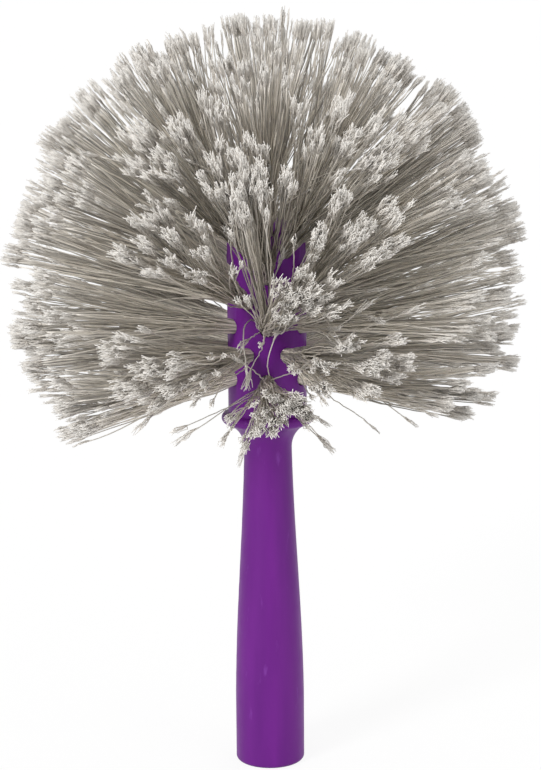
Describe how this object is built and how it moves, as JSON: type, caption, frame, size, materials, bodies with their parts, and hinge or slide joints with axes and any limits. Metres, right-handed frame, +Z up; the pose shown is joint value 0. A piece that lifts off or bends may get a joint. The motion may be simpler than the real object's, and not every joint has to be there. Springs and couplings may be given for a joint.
{
  "type": "cobweb brush head",
  "caption": "Ball-shaped cobweb brush: a moulded pole socket, collar and tuft block with fanned, feather-tipped bristle tufts wired into it.",
  "frame": {"origin": "centre of the pole socket's mouth", "axes": "+Z up along the socket's axis through the bristles, +X right, -Y the front that the picture shows"},
  "size_m": [0.2518, 0.2524, 0.3718],
  "materials": {
    "moulded_plastic": "satin",
    "fibre": "crimped fibre with split, feathered, off-white tips",
    "anchor_wire": "flat drawn wire"
  },
  "bodies": {
    "root": {"brush_moulding": "moulded_plastic", "anchor_wires": "anchor_wire", "tuft_ring1_front": "fibre", "tuft_ring1_right_front": "fibre", "tuft_ring1_right_back": "fibre", "tuft_ring1_back": "fibre", "tuft_ring1_left_back": "fibre", "tuft_ring1_left_front": "fibre", "tuft_ring2_front_right": "fibre", "tuft_ring2_right": "fibre", "tuft_ring2_back_right": "fibre", "tuft_ring2_back_left": "fibre", "tuft_ring2_left": "fibre", "tuft_ring2_front_left": "fibre", "tuft_ring3_front": "fibre", "tuft_ring3_right_front": "fibre", "tuft_ring3_right_back": "fibre", "tuft_ring3_back": "fibre", "tuft_ring3_left_back": "fibre", "tuft_ring3_left_front": "fibre", "tuft_ring4_front_right": "fibre", "tuft_ring4_right": "fibre", "tuft_ring4_back_right": "fibre", "tuft_ring4_back_left": "fibre", "tuft_ring4_left": "fibre", "tuft_ring4_front_left": "fibre", "tuft_ring5_front": "fibre", "tuft_ring5_right_front": "fibre", "tuft_ring5_right_back": "fibre", "tuft_ring5_back": "fibre", "tuft_ring5_left_back": "fibre", "tuft_ring5_left_front": "fibre", "tuft_ring6_front_right": "fibre", "tuft_ring6_right": "fibre", "tuft_ring6_back_right": "fibre", "tuft_ring6_back_left": "fibre", "tuft_ring6_left": "fibre", "tuft_ring6_front_left": "fibre", "tuft_ring7_front": "fibre", "tuft_ring7_right_front": "fibre", "tuft_ring7_right_back": "fibre", "tuft_ring7_back": "fibre", "tuft_ring7_left_back": "fibre", "tuft_ring7_left_front": "fibre", "tuft_crown": "fibre"}
  },
  "joints": []
}
